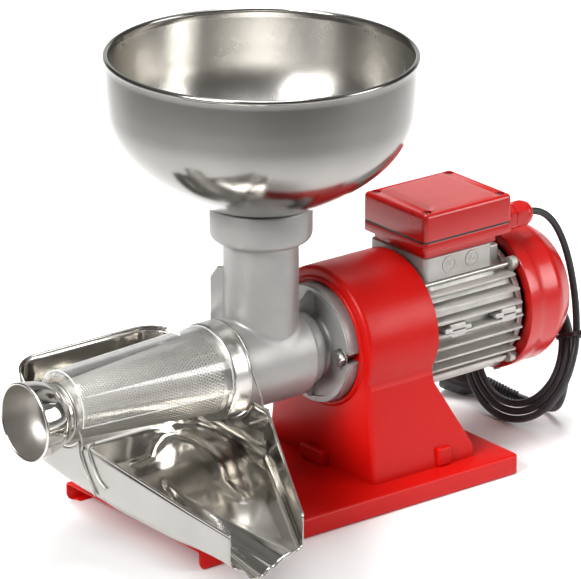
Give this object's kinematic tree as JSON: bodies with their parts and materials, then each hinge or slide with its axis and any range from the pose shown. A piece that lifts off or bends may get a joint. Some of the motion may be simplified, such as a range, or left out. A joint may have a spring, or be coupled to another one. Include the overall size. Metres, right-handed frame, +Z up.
{
  "type": "electric tomato press",
  "caption": "Motor-driven tomato press with a round steel hopper, worm, conical strainer under a clear guard, hanging juice tray and folded sheet base.",
  "frame": {"origin": "middle of the object's bounding box without the mains cable, on the table under the base", "axes": "+X along the worm and motor axis toward the motor's fan cowl, +Y away from the juice spout, +Z up"},
  "size_m": [0.6086, 0.382, 0.424],
  "materials": {
    "red_paint": "gloss powder coat",
    "polished_steel": "polished stainless steel",
    "satin_steel": "satin stainless steel",
    "cast_alloy": "fine blasted casting",
    "motor_alloy": "plain casting",
    "zinc_steel": "zinc plated",
    "gear_steel": "machined",
    "core_steel": "laminated",
    "copper": "enamelled wire",
    "bronze": "sintered",
    "white_plastic": "food grade plastic",
    "clear_plastic": "clear plastic",
    "black_plastic": "matt",
    "red_plastic": "gloss",
    "black_rubber": "matt",
    "grey_plastic": "matt",
    "ivory_plastic": "matt"
  },
  "bodies": {
    "frame": {"base_plate": "red_paint", "gear_housing": "red_paint", "housing_screws": "zinc_steel", "body_casting": "cast_alloy", "flange_bolts": "zinc_steel", "flange_washers": "zinc_steel", "shaft_seal": "black_rubber", "output_bearing": "gear_steel", "gear_plate": "motor_alloy", "gear_plate_posts": "zinc_steel", "gear_plate_screws": "zinc_steel", "gear_plate_bush": "bronze", "layshaft_bearings": "gear_steel", "motor_mount_screws": "zinc_steel", "motor_front_shield": "motor_alloy", "motor_front_bearing": "gear_steel", "stator_housing": "motor_alloy", "stator_core": "core_steel", "stator_winding": "copper", "motor_rear_shield": "motor_alloy", "motor_rear_bearing": "gear_steel", "motor_tie_rods": "zinc_steel", "fan_cowl": "red_plastic", "cowl_screws": "zinc_steel", "terminal_box_base": "red_plastic", "terminal_box_gasket": "black_rubber", "terminal_box_lid": "red_plastic", "lid_screws": "zinc_steel", "capacitor": "grey_plastic", "terminal_block": "ivory_plastic", "switch_frame": "black_plastic", "cable_gland": "red_plastic", "gland_nut": "red_plastic", "power_cord": "black_rubber", "cord_coil": "black_rubber", "cord_tail": "black_rubber", "cable_tie": "black_plastic", "plug_body": "black_plastic", "plug_pins": "zinc_steel", "plug_boot": "black_rubber"},
    "rotor": {"rotor_core": "core_steel", "motor_shaft": "gear_steel", "motor_pinion": "gear_steel", "cooling_fan": "black_plastic"},
    "layshaft": {"layshaft": "gear_steel", "layshaft_gear": "gear_steel", "layshaft_pinion": "gear_steel"},
    "worm": {"output_shaft": "gear_steel", "output_gear": "gear_steel", "worm": "white_plastic"},
    "hopper": {"hopper_bowl": "satin_steel"},
    "strainer": {"strainer_ring": "polished_steel", "strainer_cone": "satin_steel", "waste_bell": "polished_steel"},
    "guard": {"splash_guard": "clear_plastic"},
    "tray": {"drip_tray": "polished_steel", "front_hanger": "polished_steel", "rear_hanger": "polished_steel"},
    "rocker": {"rocker_button": "red_plastic"}
  },
  "joints": [
    {"name": "rotor_spin", "type": "hinge", "parent": "frame", "child": "rotor", "pos_m": [0.1675, 0.051, 0.1367], "axis": [1, 0, 0], "continuous": true},
    {"name": "layshaft_spin", "type": "hinge", "parent": "frame", "child": "layshaft", "pos_m": [0.0775, 0.051, 0.0917], "axis": [1, 0, 0], "continuous": true},
    {"name": "worm_spin", "type": "hinge", "parent": "frame", "child": "worm", "pos_m": [-0.0325, 0.051, 0.1367], "axis": [1, 0, 0], "continuous": true},
    {"name": "hopper_lift", "type": "slide", "parent": "frame", "child": "hopper", "axis": [0, 0, 1], "range_m": [0, 0.06]},
    {"name": "strainer_twist", "type": "hinge", "parent": "frame", "child": "strainer", "pos_m": [-0.0875, 0.051, 0.1367], "axis": [1, 0, 0], "range_deg": [0, 22]},
    {"name": "guard_lift", "type": "slide", "parent": "strainer", "child": "guard", "axis": [0, 0, 1], "range_m": [0, 0.05]},
    {"name": "tray_swing", "type": "hinge", "parent": "frame", "child": "tray", "pos_m": [-0.1625, 0.051, 0.1367], "axis": [1, 0, 0], "range_deg": [-8, 0]},
    {"name": "rocker_tilt", "type": "hinge", "parent": "frame", "child": "rocker", "pos_m": [0.1725, 0.092, 0.2375], "axis": [1, 0, 0], "range_deg": [0, 12]}
  ],
  "couplings": [
    {"joint": "layshaft_spin", "follows": "rotor_spin", "ratio": -0.25},
    {"joint": "worm_spin", "follows": "rotor_spin", "ratio": 0.083333}
  ]
}
